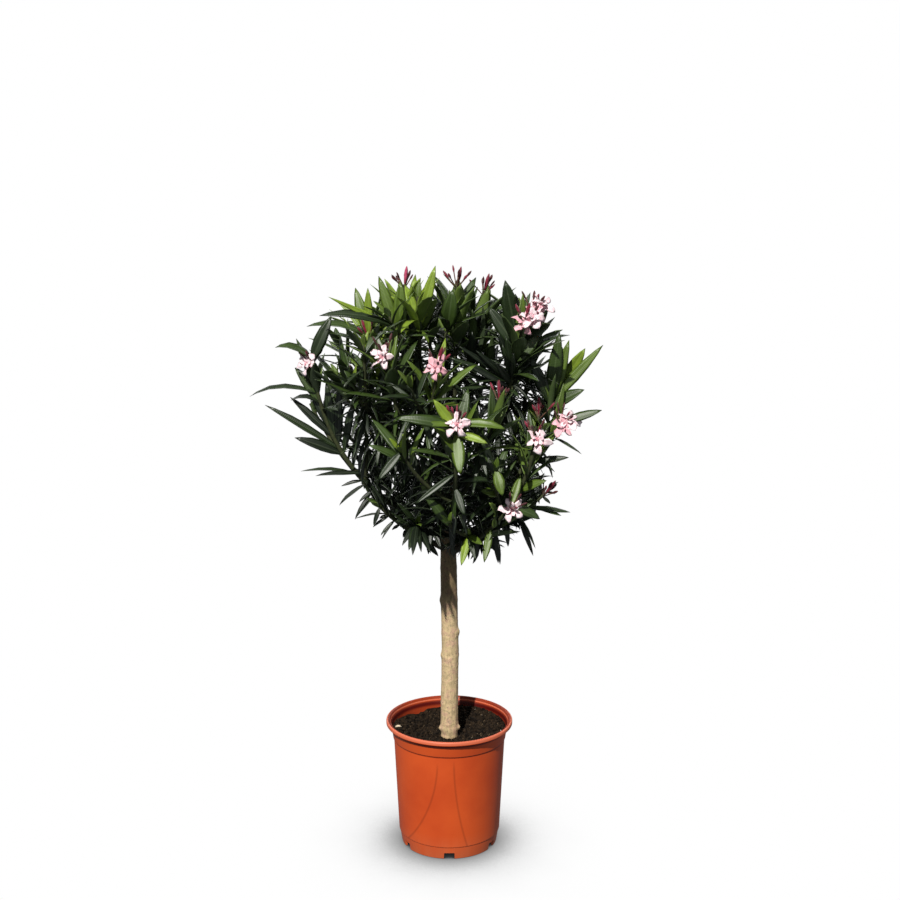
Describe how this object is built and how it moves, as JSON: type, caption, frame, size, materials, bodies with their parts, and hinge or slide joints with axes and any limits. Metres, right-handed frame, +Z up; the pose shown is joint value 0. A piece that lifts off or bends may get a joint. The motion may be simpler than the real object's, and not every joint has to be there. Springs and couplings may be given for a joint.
{
  "type": "potted oleander",
  "caption": "Oleander grown as a small standard tree, with one bare stem, a bushy head of narrow leaves with pale pink flowers and red buds, in a round terracotta-coloured nursery pot.",
  "frame": {"origin": "centre of the pot's underside, on the trunk's line", "axes": "+Z up along the trunk, -Y towards the viewer at the front, +X to the right seen from the front"},
  "size_m": [0.6412, 0.5818, 1.1064],
  "materials": {
    "pot_plastic": "terracotta-orange moulded plastic, soft sheen",
    "peat": "dark crumbly potting peat, dull",
    "bark": "pale tan bark with fine grain, dull",
    "green_bark": "grey-green young bark, dull",
    "leaves": "leathery evergreen leaves, soft sheen"
  },
  "bodies": {
    "root": {"pot": "pot_plastic", "peat": "peat", "trunk": "bark", "bough_low_front": "green_bark", "bough_low_left": "green_bark", "bough_low_back": "green_bark", "bough_low_right": "green_bark", "bough_left": "green_bark", "bough_front": "green_bark", "bough_right_front": "green_bark", "bough_right": "green_bark", "bough_back_right": "green_bark", "bough_back_left": "green_bark", "bough_high_left": "green_bark", "bough_top_front": "green_bark", "bough_top_left": "green_bark", "bough_top_middle": "green_bark", "bough_top_right": "green_bark", "bough_top_back": "green_bark", "mass_low_front": "leaves", "mass_low_left": "leaves", "mass_low_back": "leaves", "mass_low_right": "leaves", "mass_left": "leaves", "mass_front": "leaves", "mass_right_front": "leaves", "mass_right": "leaves", "mass_back_right": "leaves", "mass_back_left": "leaves", "mass_high_left": "leaves", "mass_top_front": "leaves", "mass_top_left": "leaves", "mass_top_middle": "leaves", "mass_top_right": "leaves", "mass_top_back": "leaves"}
  },
  "joints": []
}
